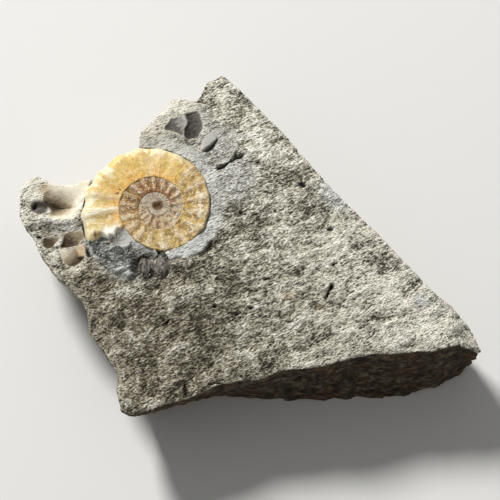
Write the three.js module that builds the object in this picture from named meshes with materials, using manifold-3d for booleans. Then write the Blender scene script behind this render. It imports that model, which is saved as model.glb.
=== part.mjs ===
// An ammonite in amber calcite, half sunk in a loose piece of grey limestone, with two dark bits of other
// shells.
//
// Millimetres, +Z up. The stone lies on its flat back at z = 0, with its bedding face and the shell on top.
// The origin is under the middle of the whole piece. +X runs from the spur on the left to the tip on the
// right, and +Y runs to the corner at the top of the face.

import * as THREE from 'three';
import { LoftGeometry } from 'three/addons/geometries/LoftGeometry.js';
import { ImprovedNoise } from 'three/addons/math/ImprovedNoise.js';
import { mergeVertices } from 'three/addons/utils/BufferGeometryUtils.js';
import Module from 'manifold-3d';

const wasm = await Module();
wasm.setup();

const { clamp, lerp, smoothstep, degToRad, radToDeg } = THREE.MathUtils;

// Driving dimensions of the stone.
const FACE_HEIGHT = 14.4; // the bedding face above the back
const UNDERCUT_HEIGHT = 11.5; // below this the sides lean in or out towards the foot
const WALL_STEP = 2.3; // longest straight stretch of the broken edge
const WALL_ROUGHNESS = 0.5; // how far the broken sides wander
const FACE_ROUGHNESS = 0.42; // the slow swells and lumps of the bedding face
const FINE_CELL = 1.05; // grid of the face round the shell and the moulds
const COARSE_CELL = 2.6; // grid of the rest of the face
const CLEARANCE = 0.3; // between the stone and what is set in it
const ABOVE_ALL = 20; // clear of everything, for cutting
const BELOW_ALL = -2;

// Slopes of the face: where each starts, and how far it falls for a millimetre outwards, or in all.
const TOP_CORNER_FALL = { from: 11, slope: 0.03 };
const BOTTOM_CORNER_FALL = { from: -8, slope: 0.05 };
const SPUR_DROP = { from: 23, to: 29, depth: 0.9 };
const SHOULDER = { at: [-25.1, -12.3], across: [0.85, 0.53], width: 3.5, depth: 2.2 };
const TIP_FACET = { at: [28.5, -8], across: [0.909, 0.417], slope: 1.1 };

// Driving dimensions of the coil. The outer edge of its whorls is nearly a logarithmic spiral.
const COIL_X = -14.5;
const COIL_Y = 6.4;
const COIL_MID_HEIGHT = 12.9; // the plane through the middle of the whorls, at the coil's left side
const COIL_LEAN = 0.03; // how far that plane sinks for a millimetre to the right
const COIL_RADIUS = 11.3; // outer edge on the left, one whorl out
const WHORL_GROWTH = 2; // how much wider each whorl is than the one inside it
const NUCLEUS_DROP = 0.7; // how far the inner whorls' middle lies from the outer one's, towards -Y
const RIBS_PER_WHORL = 20;
const RIB_HEIGHT = 0.045; // of the whorl's half height
const COIL_HALF_THICKNESS = 2.68; // of the outermost whorl, on the left
const THICKNESS_TAPER = 0.15; // how fast the whorls thin inwards, 1 for in step with their radius
const WHORL_GAP = 0.04; // the seam between a whorl and the one inside it, of the half height
const ROUNDNESS = { outside: 0.8, seam: 0.5, flank: 0.5 }; // of the whorl's cross-section, 1 for an ellipse
const SECTION_POINTS = 12;
const MOUTH_TURN = degToRad(26); // how far past the left side the calcite runs before it breaks off

// How much wider than the even spiral the shell is at a turn, in degrees.
const COIL_SWELLS = [
  [-60, 1.03],
  [60, 1.06],
  [130, 1.05],
  [200, 1.0],
  [258, 0.96],
  [325, 0.965],
  [350, 1.005],
  [386, 1.035],
];

// The channel prepared in the stone round the coil: its floor, its width, and its width at the lower right.
const CHANNEL_FLOOR = COIL_MID_HEIGHT + 1;
const CHANNEL_WIDTHS = { narrow: 0.7, right: 2.4 };

// The stone that fills the body chamber, round its middle on the spiral.
const FILLING = {
  turn: degToRad(50),
  halfTurn: degToRad(27),
  radius: 10.3,
  halfWidth: 3.5,
  foot: 13.0,
  height: 2.1,
};

// The stone's edge seen from above, counter-clockwise from the top corner: x and y of the edge, then how far
// the foot of the side lies from it in x and in y.
const EDGE = [
  [-4.3, 27.2, -0.2, -1.6], // top corner
  [-5.8, 26.2, 0.3, -1.2],
  [-6.8, 25.9, 0.6, -1.0],
  [-7.8, 23.3, 0.5, -0.8],
  [-8.5, 22.7, 0.3, -0.8],
  [-11.9, 23.1, 0.4, -1.3],
  [-12.8, 21.8, 0.8, -1.0],
  [-15.2, 19.5, 1.0, -0.9],
  [-16.9, 17.8, 1.2, -0.6],
  [-17.1, 16.5, 1.1, -0.4],
  [-18.2, 14.8, 0.8, -0.8], // under the shell
  [-20.4, 13.2, 0.6, -1.0],
  [-22.9, 11.4, 0.8, -1.2],
  [-25.1, 10.6, 0.8, -1.8],
  [-26.5, 9.6, 0.8, -2.0], // saddle of the spur
  [-28.2, 9.2, 1.2, -2.2],
  [-30.9, 9.5, 2.0, -2.6],
  [-32.9, 11.0, 2.6, -3.6], // peak of the spur
  [-34.5, 9.9, 3.0, -3.0],
  [-35.4, 8.5, 3.4, -2.4],
  [-35.7, 5.5, 3.8, -1.4], // end of the spur
  [-34.9, 3.2, 3.8, -0.6],
  [-33.2, 1.2, 3.6, 0.2],
  [-32.5, -0.9, 3.8, 0.8],
  [-29.9, -4.8, 3.6, 1.8],
  [-25.8, -8.8, 3.4, 2.0],
  [-25.2, -10.4, 3.6, 1.8],
  [-24.8, -13.7, 3.8, 1.6],
  [-22.5, -16.6, 3.8, 1.8],
  [-20.3, -20.4, 3.6, 2.2],
  [-20.4, -23.5, 3.8, 2.8],
  [-19.8, -26.3, 3.4, 3.6],
  [-18.6, -27.1, 2.8, 4.2], // bottom corner
  [-14.6, -26.1, 1.6, 4.2],
  [-9.6, -24.6, 0.6, 3.8],
  [-6.9, -23.4, 0.2, 2.6],
  [-4.6, -22.2, 0, 1.7],
  [1.3, -21.6, 0, 0.6],
  [4.4, -20.3, 0, -1.0], // from here to the tip the side leans out
  [11.0, -19.7, 0, -1.6],
  [16.7, -18.0, 0, -2.9],
  [24.0, -17.4, 0.2, -3.3],
  [28.3, -17.2, 0.4, -2.1],
  [32.0, -16.2, 0.2, -1.0],
  [35.7, -16.9, -2.0, 1.0], // right tip
  [33.7, -12.9, -1.4, -0.6],
  [30.4, -9.3, -0.8, -0.8],
  [28.6, -8.4, -0.6, -0.8],
  [20.2, 0.7, -0.9, -0.9],
  [12.3, 8.8, -0.6, -0.6],
  [4.9, 17.8, -0.9, -0.8],
  [1.2, 21.7, -0.6, -0.8],
];

// Smooth hollows left by the ribs of other shells. Each slopes down from its top to its crease, and its wall
// rises from the crease again. Half widths are given at the top and at the crease.
const RIB_MOULDS = [
  { top: [-29.6, 9.4], crease: [-29.9, 6.2], halfWidths: [3.2, 4.0], depth: 2.3, wall: 2.0 },
  { top: [-30.6, 1.9], crease: [-30.9, -0.2], halfWidths: [1.5, 1.2], depth: 0.8, wall: 0.6 },
  { top: [-27.5, 2.6], crease: [-27.6, -0.3], halfWidths: [1.6, 1.9], depth: 1.1, wall: 0.8 },
  { top: [-27.6, -1.2], crease: [-27.2, -3.2], halfWidths: [1.9, 1.6], depth: 1.1, wall: 0.9 },
  { top: [-9.2, 21.6], crease: [-9.4, 17.0], halfWidths: [1.2, 1.8], depth: 1.3, wall: 0.6 },
  { top: [-12.0, 20.8], crease: [-12.9, 17.9], halfWidths: [0.7, 1.3], depth: 0.8, wall: 0.6 },
];

// Narrow deep slits in the face above the shell: middle, length, width and direction.
const SLITS = [
  { at: [-6.1, 15.8], length: 3.2, width: 1.0, turn: degToRad(39) },
  { at: [-3.3, 13.1], length: 4.8, width: 0.9, turn: degToRad(26) },
];
const SLIT_DEPTH = 1.7;

// The dark domed bits of other shells: middle, half lengths along x, y and z, and turn about z.
const SHELL_FRAGMENTS = {
  shell_fragment_right: { at: [-13.7, -3.8, 13.6], half: [1.3, 2.1, 1.2], turn: degToRad(-6) },
  shell_fragment_left: { at: [-16.3, -3.7, 13.4], half: [1.15, 1.7, 1.1], turn: degToRad(14) },
};

const COLOURS = {
  limestone: { color: '#a8a294', roughness: 0.95 },
  calcite: { color: '#dcb968', roughness: 0.35 },
  darkShell: { color: '#4b4743', roughness: 0.6 },
};

const noise = new ImprovedNoise();

// A manifold solid of a closed geometry.
function toSolid(geometry) {
  const plain = new THREE.BufferGeometry().copy(geometry);
  plain.deleteAttribute('normal');
  plain.deleteAttribute('uv');
  const merged = mergeVertices(plain, 1e-4);
  const vertProperties = new Float32Array(merged.getAttribute('position').array);
  const triVerts = new Uint32Array(merged.index.array);
  return new wasm.Manifold(new wasm.Mesh({ numProp: 3, vertProperties, triVerts }));
}

// A geometry of a manifold solid.
function toGeometry(solid) {
  const mesh = solid.getMesh();
  const geometry = new THREE.BufferGeometry();
  geometry.setAttribute('position', new THREE.BufferAttribute(mesh.vertProperties, 3));
  geometry.setIndex(new THREE.BufferAttribute(mesh.triVerts, 1));
  geometry.computeVertexNormals();
  return geometry;
}

function loftSolid(sections) {
  return toSolid(new LoftGeometry(sections, { capStart: true, capEnd: true }));
}

function ellipsoidSolid(at, half, turn, columns, rows) {
  const geometry = new THREE.SphereGeometry(1, columns, rows);
  geometry.rotateX(Math.PI / 2);
  geometry.scale(...half);
  geometry.rotateZ(turn);
  geometry.translate(...at);
  return toSolid(geometry);
}

// The turn of a point about the coil's middle, counter-clockwise from the left side, and its radius.
function aroundCoil(x, y) {
  const dx = x - COIL_X;
  const dy = y - COIL_Y;
  const turn = Math.atan2(-dy, -dx);
  return { turn: turn < 0 ? turn + 2 * Math.PI : turn, radius: Math.hypot(dx, dy) };
}

// Outer radius of the shell at a turn, where 0 to one full turn is the outermost visible whorl.
function outerRadius(turn) {
  let swell = COIL_SWELLS[0][1];
  for (let i = 1; i < COIL_SWELLS.length; i++) {
    const share = smoothstep(radToDeg(turn), COIL_SWELLS[i - 1][0], COIL_SWELLS[i][0]);
    swell = lerp(swell, COIL_SWELLS[i][1], share);
  }
  return COIL_RADIUS * WHORL_GROWTH ** (turn / (2 * Math.PI) - 1) * swell;
}

// The place in plan of the shell's outer edge at a turn.
function outerEdge(turn) {
  const radius = outerRadius(turn);
  const drop = NUCLEUS_DROP * (1 - smoothstep(turn, degToRad(-60), degToRad(60)));
  return new THREE.Vector2(COIL_X - Math.cos(turn) * radius, COIL_Y - drop - Math.sin(turn) * radius);
}

// Half the thickness of the whorl at a turn.
function halfThickness(turn) {
  return COIL_HALF_THICKNESS * (outerRadius(turn) / COIL_RADIUS) ** THICKNESS_TAPER;
}

// How far a point lies beyond the line where a slope of the face starts.
function distanceAcross({ at, across }, x, y) {
  return (x - at[0]) * across[0] + (y - at[1]) * across[1];
}

// Depth of a rib mould at a point of the face.
function mouldDepth(mould, x, y) {
  const along = new THREE.Vector2(mould.crease[0] - mould.top[0], mould.crease[1] - mould.top[1]);
  const length = along.length();
  along.normalize();
  const fromTop = new THREE.Vector2(x - mould.top[0], y - mould.top[1]);
  const down = fromTop.dot(along);
  const across = Math.abs(fromTop.cross(along));
  const halfWidth = lerp(...mould.halfWidths, clamp(down / length, 0, 1));
  const side = 1 - smoothstep(across, halfWidth - 0.6, halfWidth + 0.2);
  const slope = down < length
    ? Math.max(down / length, 0) ** 1.5
    : Math.max(1 - (down - length) / mould.wall, 0);
  return mould.depth * slope * side;
}

// Height of the stone's upper face at a point.
function faceHeight(x, y) {
  let height = FACE_HEIGHT;
  // The face falls away towards the top corner, the bottom corner and the spur.
  height -= TOP_CORNER_FALL.slope * Math.max(0, y - TOP_CORNER_FALL.from);
  height -= BOTTOM_CORNER_FALL.slope * Math.max(0, BOTTOM_CORNER_FALL.from - y) * smoothstep(-x, -10, 5);
  height -= SPUR_DROP.depth * smoothstep(-x, SPUR_DROP.from, SPUR_DROP.to);
  // A rounded shoulder runs down the lower left edge, between the spur and the bottom corner.
  const onShoulder = 1 - smoothstep(distanceAcross(SHOULDER, x, y), -1, SHOULDER.width);
  height -= SHOULDER.depth * onShoulder * (1 - smoothstep(y, -8, -3)) * smoothstep(y, -24, -19);
  // A facet slopes off to the right tip.
  height -= TIP_FACET.slope * Math.max(0, distanceAcross(TIP_FACET, x, y));
  // Swells and lumps.
  height += FACE_ROUGHNESS * noise.noise(x / 9, y / 9, 0.5);
  height += 0.8 * FACE_ROUGHNESS * noise.noise(x / 3.1, y / 2.3, 4.5);

  // Round the coil the face drops to the prepared channel, wide at the lower right.
  const { turn, radius } = aroundCoil(x, y);
  const rim = outerRadius(turn > MOUTH_TURN ? turn : turn + 2 * Math.PI);
  const { narrow, right } = CHANNEL_WIDTHS;
  const width = narrow + (right - narrow) * smoothstep(turn, 1.5, 2.1) * (1 - smoothstep(turn, 3.2, 4.0));
  height = lerp(height, CHANNEL_FLOOR, 1 - smoothstep(radius - rim, 0.2, width + 0.3));
  // Under the coil the stone ends below the middle plane.
  height = lerp(height, COIL_MID_HEIGHT - 1.1, 1 - smoothstep(radius - rim, -1.6, -0.8));

  // The body chamber is filled with stone, and goes on along the spiral past the calcite.
  const past = (turn - FILLING.turn) / FILLING.halfTurn;
  const outwards = (radius - FILLING.radius) / FILLING.halfWidth;
  if (Math.abs(past) < 1 && Math.abs(outwards) < 1) {
    const filling = (1 - past ** 4) * (1 - outwards ** 2) ** 0.7;
    const lump = 0.5 * noise.noise(x / 1.7, y / 1.7, 9.5);
    height = Math.max(height, FILLING.foot + FILLING.height * filling + lump);
  }
  for (const mould of RIB_MOULDS) height -= mouldDepth(mould, x, y);
  return height;
}

// Grid lines from one end to the other, close together where the small forms are.
function gradedLines(from, to, fineFrom, fineTo, fine, coarse) {
  const lines = [from];
  while (lines.at(-1) < to) {
    const at = lines.at(-1);
    lines.push(at + (at >= fineFrom && at < fineTo ? fine : coarse));
  }
  return lines;
}

// A block whose top is the face's relief, larger than the stone all round.
function reliefBlock() {
  const columns = gradedLines(-38, 38, -36, -3, FINE_CELL, COARSE_CELL);
  const rows = gradedLines(-29, 29, -6, 22, FINE_CELL, COARSE_CELL);
  const nx = columns.length - 1;
  const ny = rows.length - 1;
  const block = new THREE.BoxGeometry(2, 2, 2, nx, ny, 1);
  const position = block.getAttribute('position');
  for (let i = 0; i < position.count; i++) {
    const x = columns[Math.round(((position.getX(i) + 1) / 2) * nx)];
    const y = rows[Math.round(((position.getY(i) + 1) / 2) * ny)];
    position.setXYZ(i, x, y, position.getZ(i) > 0 ? faceHeight(x, y) : BELOW_ALL);
  }
  return toSolid(block);
}

// The edge with its outward directions, with points added so that no stretch is longer than the wall step.
function fineEdge() {
  const corners = EDGE.map(([x, y, footX, footY], i) => {
    const before = EDGE.at(i - 1);
    const after = EDGE[(i + 1) % EDGE.length];
    return {
      at: new THREE.Vector2(x, y),
      out: new THREE.Vector2(after[1] - before[1], before[0] - after[0]).normalize(),
      foot: new THREE.Vector2(footX, footY),
    };
  });
  return corners.flatMap((corner, i) => {
    const next = corners[(i + 1) % corners.length];
    const count = Math.ceil(corner.at.distanceTo(next.at) / WALL_STEP);
    return Array.from({ length: count }, (_, step) => ({
      at: corner.at.clone().lerp(next.at, step / count),
      out: corner.out.clone().lerp(next.out, step / count).normalize(),
      foot: corner.foot.clone().lerp(next.foot, step / count),
      isCorner: step === 0,
    }));
  });
}

// The stone's sides as one solid, from its back to well above its face. Corners keep their place at the edge.
function sidesSolid() {
  const edge = fineEdge();
  const levels = [0, 2.4, 4.8, 7.2, 9.6, UNDERCUT_HEIGHT, ABOVE_ALL];
  const sections = levels.map((z) => {
    const towardsFoot = clamp(1 - z / UNDERCUT_HEIGHT, 0, 1) ** 1.1;
    const roughZ = Math.min(z, UNDERCUT_HEIGHT) / 2.2;
    return edge.map(({ at, out, foot, isCorner }) => {
      const steady = z >= UNDERCUT_HEIGHT ? (isCorner ? 0 : 0.4) : 1;
      const lump = WALL_ROUGHNESS * steady * noise.noise(at.x / 2.7, at.y / 2.7, roughZ);
      return new THREE.Vector3(
        at.x + foot.x * towardsFoot + out.x * lump,
        at.y + foot.y * towardsFoot + out.y * lump,
        z,
      );
    });
  });
  return loftSolid(sections);
}

// One cross-section of the whorl at a turn, grown outwards by a margin. A whorl stays just clear of the one
// inside it, which has no ribs on its outer edge.
function whorlSection(turn, margin, ribbed) {
  const outer = outerEdge(turn);
  const inner = outerEdge(turn - 2 * Math.PI);
  const halfWidth = outer.distanceTo(inner) / 2;
  const halfHeight = halfThickness(turn);
  const fade = ribbed ? smoothstep(turn, MOUTH_TURN - 2.6 * Math.PI, MOUTH_TURN - 1.9 * Math.PI) : 0;
  const rib = fade * RIB_HEIGHT * (2 * (0.5 + 0.5 * Math.cos(RIBS_PER_WHORL * turn)) ** 1.5 - 1);
  const onEdge = smoothstep(turn, MOUTH_TURN, MOUTH_TURN + 0.3);
  return Array.from({ length: SECTION_POINTS }, (_, i) => {
    const around = (-i / SECTION_POINTS) * 2 * Math.PI;
    const cos = Math.cos(around);
    const sin = Math.sin(around);
    const reach = smoothstep(cos, -0.9, 0.4) * lerp(1 - smoothstep(cos, 0.6, 1), 1, onEdge);
    const swell = 1 + rib * reach;
    const side = cos < 0 ? 1 - WHORL_GAP : swell;
    const roundness = cos > 0 ? ROUNDNESS.outside : ROUNDNESS.seam;
    const sideways = Math.sign(cos) * Math.abs(cos) ** roundness * (halfWidth * side + margin);
    const upwards = Math.sign(sin) * Math.abs(sin) ** ROUNDNESS.flank * (halfHeight * swell + margin);
    const place = inner.clone().lerp(outer, 0.5 + sideways / (2 * halfWidth));
    const middle = COIL_MID_HEIGHT - COIL_LEAN * (place.x - COIL_X + COIL_RADIUS);
    return new THREE.Vector3(place.x, place.y, middle + upwards);
  });
}

// The sections of a stretch of coil, the last of them at its end.
function coilSections(from, to, stepsPerWhorl, margin, ribbed) {
  const steps = Math.round(((to - from) / (2 * Math.PI)) * stepsPerWhorl);
  const turns = Array.from({ length: steps }, (_, i) => lerp(from, to, (i + 1) / steps));
  return turns.map((turn) => whorlSection(turn, margin, ribbed));
}

// The calcite shell: two ribbed whorls, with smooth ones inside them.
function ammoniteSolid() {
  const whorl = 2 * Math.PI;
  return loftSolid([
    ...coilSections(MOUTH_TURN - 3 * whorl, MOUTH_TURN - whorl, RIBS_PER_WHORL, 0, true),
    ...coilSections(MOUTH_TURN - whorl, MOUTH_TURN, 3 * RIBS_PER_WHORL, 0, true),
    ...coilSections(MOUTH_TURN, MOUTH_TURN + whorl, 4 * RIBS_PER_WHORL, 0, true),
  ]);
}

// What the coil takes out of the stone: the outer whorl with its clearance, and a dish for the whorls inside
// it.
function seatSolid() {
  const end = MOUTH_TURN + 2 * Math.PI + 0.05;
  const whorl = loftSolid(coilSections(MOUTH_TURN + 0.35, end, 36, CLEARANCE + 0.15, false));
  const radius = outerRadius(MOUTH_TURN + 0.4) + CLEARANCE;
  const depth = halfThickness(MOUTH_TURN) + CLEARANCE;
  const dish = new THREE.CylinderGeometry(radius, radius, 2 * depth, 24);
  dish.rotateX(Math.PI / 2);
  dish.translate(COIL_X, COIL_Y, COIL_MID_HEIGHT);
  return whorl.add(toSolid(dish));
}

function matrixSolid() {
  let stone = sidesSolid().intersect(reliefBlock()).subtract(seatSolid());
  for (const { at, length, width, turn } of SLITS) {
    const half = [length / 2, width / 2, SLIT_DEPTH];
    stone = stone.subtract(ellipsoidSolid([...at, FACE_HEIGHT], half, turn, 12, 8));
  }
  for (const { at, half, turn } of Object.values(SHELL_FRAGMENTS)) {
    const roomy = half.map((length) => length + CLEARANCE + 0.05);
    stone = stone.subtract(ellipsoidSolid(at, roomy, turn, 12, 6));
  }
  return stone;
}

// The left bit is cut back where the right one lies over it.
function fragmentSolid(name) {
  const { at, half, turn } = SHELL_FRAGMENTS[name];
  const bit = ellipsoidSolid(at, half, turn, 12, 8);
  if (name === 'shell_fragment_right') return bit;
  const over = SHELL_FRAGMENTS.shell_fragment_right;
  const roomy = over.half.map((length) => length + CLEARANCE);
  return bit.subtract(ellipsoidSolid(over.at, roomy, over.turn, 12, 6));
}

const group = new THREE.Group();

function addPiece(name, solid, finish) {
  const mesh = new THREE.Mesh(toGeometry(solid), new THREE.MeshStandardMaterial({ metalness: 0, ...finish }));
  mesh.name = name;
  group.add(mesh);
}

addPiece('matrix', matrixSolid(), COLOURS.limestone);
addPiece('ammonite', ammoniteSolid(), COLOURS.calcite);
for (const name of Object.keys(SHELL_FRAGMENTS)) addPiece(name, fragmentSolid(name), COLOURS.darkShell);

export default group;
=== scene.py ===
"""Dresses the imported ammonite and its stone, and sets up the studio they lie in.

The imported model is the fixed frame, and each dressed piece stands where its node stands. Sizes in the
classes are millimetres, and a finished mesh is brought to metres. Turns round the coil are degrees,
counter-clockwise as seen from above, from the left side of the outermost whorl.
"""

import logging
import math
from dataclasses import dataclass, field
from enum import Enum
from typing import Union

import bmesh
import bpy
from mathutils import Matrix, Vector, noise


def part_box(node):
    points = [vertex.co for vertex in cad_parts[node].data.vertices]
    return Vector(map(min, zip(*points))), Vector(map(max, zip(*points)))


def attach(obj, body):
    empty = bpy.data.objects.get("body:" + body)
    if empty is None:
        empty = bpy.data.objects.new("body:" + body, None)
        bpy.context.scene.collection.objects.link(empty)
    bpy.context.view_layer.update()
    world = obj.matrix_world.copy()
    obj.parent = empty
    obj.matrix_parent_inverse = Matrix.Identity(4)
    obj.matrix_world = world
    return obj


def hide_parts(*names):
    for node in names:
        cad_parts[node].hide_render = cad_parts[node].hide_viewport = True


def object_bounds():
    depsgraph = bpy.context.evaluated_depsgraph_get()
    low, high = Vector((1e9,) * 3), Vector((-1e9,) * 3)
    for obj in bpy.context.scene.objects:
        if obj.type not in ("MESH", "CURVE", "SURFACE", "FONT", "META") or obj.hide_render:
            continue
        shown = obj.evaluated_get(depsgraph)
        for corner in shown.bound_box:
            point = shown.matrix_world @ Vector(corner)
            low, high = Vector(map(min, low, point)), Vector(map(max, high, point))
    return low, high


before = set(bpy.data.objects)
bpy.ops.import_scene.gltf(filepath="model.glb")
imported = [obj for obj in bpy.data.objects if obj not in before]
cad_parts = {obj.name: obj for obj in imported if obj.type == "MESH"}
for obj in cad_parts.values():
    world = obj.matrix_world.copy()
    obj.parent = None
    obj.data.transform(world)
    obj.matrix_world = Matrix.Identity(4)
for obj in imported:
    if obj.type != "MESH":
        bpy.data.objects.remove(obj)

CAD_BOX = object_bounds()
MM = 0.001

log = logging.getLogger("ammonite")


def rise(value: float, start: float, end: float) -> float:
    """Goes smoothly from 0 where the value is start to 1 where it is end, which may be the smaller."""
    t = min(max((value - start) / (end - start), 0.0), 1.0)
    return t * t * (3 - 2 * t)


def within(value: float, start: float, full: float, fading: float, end: float) -> float:
    """Goes smoothly up from 0 to 1 between start and full, and down again between fading and end."""
    return rise(value, start, full) * (1 - rise(value, fading, end))


def mix(first: float, second: float, share: float) -> float:
    """Goes from the first number to the second as share goes from 0 to 1."""
    return first + (second - first) * share


def wander(x: float, y: float, length: float, seed: float, width: float | None = None) -> float:
    """Smooth noise over the face, about -1 to 1, with lumps of a length and a width, or round ones."""
    return noise.noise(Vector((x / length, y / (width or length), seed)))


def srgb(red: float, green: float, blue: float) -> tuple[float, float, float, float]:
    """Turns a colour as a screen shows it, 0 to 255, into the linear one that shaders take."""
    parts = (red / 255, green / 255, blue / 255)
    linear = (p / 12.92 if p <= 0.04045 else ((p + 0.055) / 1.055) ** 2.4 for p in parts)
    return (*linear, 1.0)


class Mask(Enum):
    """Names of the point attributes that the stone's finish reads."""

    GRAIN = "grain"
    PREPARED = "prepared"
    CHANNEL = "channel"
    MOULD = "mould"
    # Painted shade in the moulds and the pit
    SHADE = "shade"
    FILLING = "filling"
    # The sides' dark colour, partly painted shade
    SIDE = "side"
    # Slits and holes painted near black as shade
    SHADED_PIT = "pit"
    TINT = "tint"
    PALE = "pale"
    GREY = "grey"
    # Darker towards the lower left, with painted shade in some patches and painted shadow of the coil in the
    # groove
    DARK_TONE_AND_SHADE = "dusk"
    # Painted highlights on lit rims and crests, paler rock in some patches, and paler towards the right
    HIGHLIGHT_AND_PALE = "bright"
    CALM = "calm"


@dataclass(frozen=True)
class Oval:
    """An oval patch of the face, in millimetres and degrees."""

    x: float
    y: float
    half_length: float
    half_width: float
    turn: float = 0.0

    def reach(self, x: float, y: float) -> float:
        """Tells how far out a point is: 0 in the middle, 1 on the edge."""
        along = math.radians(self.turn)
        dx = x - self.x
        dy = y - self.y
        u = (dx * math.cos(along) + dy * math.sin(along)) / self.half_length
        v = (dy * math.cos(along) - dx * math.sin(along)) / self.half_width
        return math.hypot(u, v)

    def cover(self, x: float, y: float, softness: float) -> float:
        """Tells how much of the patch a point has, 1 inside and fading to 0 across its edge."""
        return 1 - rise(self.reach(x, y), 1 - softness, 1 + softness)

    def drawn_in(self, place: Vector, seat: float, end: float) -> Vector:
        """Draws a point that lies round the oval in towards its edge.

        Args:
            place: The point.
            seat: How far out lies what ends on the edge, as a share of the oval.
            end: How far out the points stay where they are.

        Returns:
            The point's new place.
        """
        reach = self.reach(place.x, place.y)
        if not 0.8 < reach < end:
            return place
        closer = mix(1.0, end, max((reach - seat) / (end - seat), 0.0)) / reach
        x = mix(self.x, place.x, closer)
        y = mix(self.y, place.y, closer)
        return Vector((x, y, place.z))


Ovals = tuple[Oval, ...]


class Patch:
    """A patch of the face with a straight-sided outline, in millimetres."""

    far = 2.0

    def __init__(self, *outline: tuple[float, float]) -> None:
        """Keeps the outline's corners, and the circle round them, which tells far points quickly."""
        self.outline = outline
        corners = [Vector(corner) for corner in outline]
        self.middle = sum(corners, Vector((0.0, 0.0))) / len(corners)
        self.radius = max((corner - self.middle).length for corner in corners)

    def inside(self, x: float, y: float) -> float:
        """Tells how far inside the outline a point lies; outside it, the distance is negative."""
        from_middle = math.hypot(x - self.middle.x, y - self.middle.y)
        if from_middle > self.radius + self.far:
            return -self.far
        nearest = math.inf
        enclosed = False
        for (ax, ay), (bx, by) in zip(self.outline, self.outline[1:] + self.outline[:1]):
            side_x = bx - ax
            side_y = by - ay
            share = ((x - ax) * side_x + (y - ay) * side_y) / (side_x**2 + side_y**2)
            share = min(max(share, 0.0), 1.0)
            nearest = min(nearest, math.hypot(x - ax - share * side_x, y - ay - share * side_y))
            if (ay > y) != (by > y) and x < ax + (y - ay) / side_y * side_x:
                enclosed = not enclosed
        return nearest if enclosed else -nearest

    def cover(self, x: float, y: float, softness: float) -> float:
        """Tells how much of the patch a point has, 1 inside and fading to 0 across its edge."""
        return rise(self.inside(x, y), -softness, softness)


def most(patches: Ovals | tuple[Patch, ...], x: float, y: float, softness: float) -> float:
    """Tells how much a point has of the patch that covers it best."""
    return max(patch.cover(x, y, softness) for patch in patches)


class Skin(Enum):
    """The two colourings of the smooth skin in a mould, each darkened with painted shade."""

    CREAM = "cream"
    GREY = "grey"


@dataclass
class Mould:
    """A smooth hollow left by a rib of another shell: a slope to a crease, and a wall that rises again."""

    patch: Patch
    top: tuple[float, float]
    crease: tuple[float, float]
    depth: float
    wall: float
    steepening: float
    shades: tuple[float, float] = (0.0, 1.0)
    skin: Skin = Skin.CREAM
    paling: float = 0.0
    softness: float = 0.15
    flush: float = 0.5
    lift: float = 0.0

    def hollow(self, x: float, y: float) -> tuple[float, float, float]:
        """Gives how far inside the mould a point lies, how deep it is there, and how much painted shade its
        skin has.
        """
        inside = self.patch.inside(x, y)
        if inside < -self.softness:
            return inside, 0.0, 0.0
        down = (Vector(self.crease) - Vector(self.top)).normalized()
        length = (Vector(self.crease) - Vector(self.top)).length
        reach = Vector((x, y)) - Vector(self.top)
        sunk = reach.dot(down)
        if sunk < length:
            slope = min(max(sunk / length, 0.0), 1.0) ** self.steepening
        else:
            slope = max(1 - (sunk - length) / self.wall, 0.0)
        sideways = (reach.y * down.x - reach.x * down.y) / self.patch.radius
        # Painted shade deepening down the slope to the crease, paler towards one side where paling is set
        dark = mix(*self.shades, slope) * (1 - self.paling * rise(sideways, -0.5, 0.6))
        depth = self.depth * slope * rise(inside, -self.softness, self.flush) - self.lift
        return inside, depth, dark


@dataclass(frozen=True)
class Spiral:
    """The coil's plan: where its middle is, and how its whorls widen."""

    x: float = -14.5
    y: float = 6.4
    mid_height: float = 12.9
    lean: float = 0.03
    radius: float = 11.3
    growth: float = 2.0
    mouth: float = 26.0
    start: float = -1200.0
    nucleus_drop: float = 0.7
    swells: tuple[tuple[float, float], ...] = (
        (-330, 1.03), (-265, 1.11), (-190, 1.03), (-60, 1.03), (40, 1.06), (60, 1.105), (95, 1.16),
        (112, 1.16), (150, 1.115), (172, 1.055), (200, 1.008), (230, 0.99), (258, 0.96), (325, 0.965),
        (350, 1.005), (386, 1.035),
    )

    def outer_radius(self, turn: float) -> float:
        """Gives the radius of a whorl's outer edge; the turn is below 0 on the inner whorls."""
        swell = self.swells[0][1]
        for (start, _), (end, share) in zip(self.swells, self.swells[1:]):
            swell = mix(swell, share, rise(turn, start, end))
        return self.radius * self.growth ** (turn / 360 - 1) * swell

    def edge(self, turn: float) -> Vector:
        """Gives the place in plan of a whorl's outer edge; the inner whorls lie off the coil's middle."""
        a = math.radians(turn)
        radius = self.outer_radius(turn)
        drop = self.nucleus_drop * rise(turn, 60, -60) * mix(0.6, 1.0, rise(turn, -1000, -500))
        return Vector((self.x - math.cos(a) * radius, self.y - drop - math.sin(a) * radius))

    def around(self, x: float, y: float) -> tuple[float, float]:
        """Gives a point's turn in degrees on the outermost whorl, and its radius."""
        turn = math.degrees(math.atan2(self.y - y, self.x - x)) % 360
        return turn, math.hypot(x - self.x, y - self.y)

    def beyond(self, x: float, y: float) -> tuple[float, float]:
        """Gives a point's turn, and how far it lies outside the coil's outer edge."""
        turn, radius = self.around(x, y)
        rim = self.outer_radius(turn if turn > self.mouth else turn + 360)
        return turn, radius - rim

    def level(self, x: float) -> float:
        """Gives the height of the middle plane, which sinks to the right."""
        return self.mid_height - self.lean * (x - self.x + self.radius)

    def point(self, turn: float, across: float, height: float) -> Vector:
        """Gives a place in space.

        Args:
            turn: Its turn.
            across: How far it lies from the seam, 0, to the outer edge, 1.
            height: Its height over the middle plane.

        Returns:
            The place in millimetres.
        """
        inner = self.edge(turn - 360) if turn - 360 > self.start else self.edge(-4000)
        plan = inner.lerp(self.edge(turn), across)
        return Vector((plan.x, plan.y, self.level(plan.x) + height))


Number = Union["Value", float]


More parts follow.
